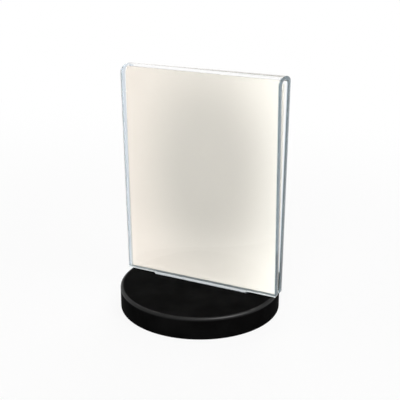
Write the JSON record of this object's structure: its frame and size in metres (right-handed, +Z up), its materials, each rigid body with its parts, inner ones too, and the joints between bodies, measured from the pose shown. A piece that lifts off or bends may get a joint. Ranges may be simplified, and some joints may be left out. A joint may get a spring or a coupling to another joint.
{
  "type": "countertop sign stand",
  "caption": "Countertop sign stand: a clear acrylic sheet bent double holds a blank card upright and plugs into the slot of a weighted round black base.",
  "frame": {"origin": "on the floor under the middle of the round base", "axes": "+Z up, +X to the right along the sign's width as seen from the front, the sign's front faces -Y"},
  "size_m": [0.141, 0.137, 0.2036],
  "materials": {
    "base_plastic": "satin moulded black",
    "cover_plastic": "matt moulded black",
    "ballast_steel": "rolled",
    "screw_steel": "zinc plated",
    "foot_rubber": "matt",
    "clear_acrylic": "polished clear",
    "card_stock": "uncoated cream"
  },
  "bodies": {
    "base": {"base_shell": "base_plastic", "base_cover": "cover_plastic", "ballast_plate": "ballast_steel", "screw_front_left": "screw_steel", "screw_front_right": "screw_steel", "screw_rear_left": "screw_steel", "screw_rear_right": "screw_steel", "foot_front": "foot_rubber", "foot_rear": "foot_rubber", "foot_left": "foot_rubber", "foot_right": "foot_rubber"},
    "holder": {"sign_holder": "clear_acrylic"},
    "card": {"sign_card": "card_stock"}
  },
  "joints": [
    {"name": "holder_lift", "type": "slide", "parent": "base", "child": "holder", "axis": [0, 0, 1], "range_m": [0, 0.03]},
    {"name": "card_slide", "type": "slide", "parent": "holder", "child": "card", "axis": [1, 0, 0], "range_m": [-0.145, 0.145]}
  ]
}
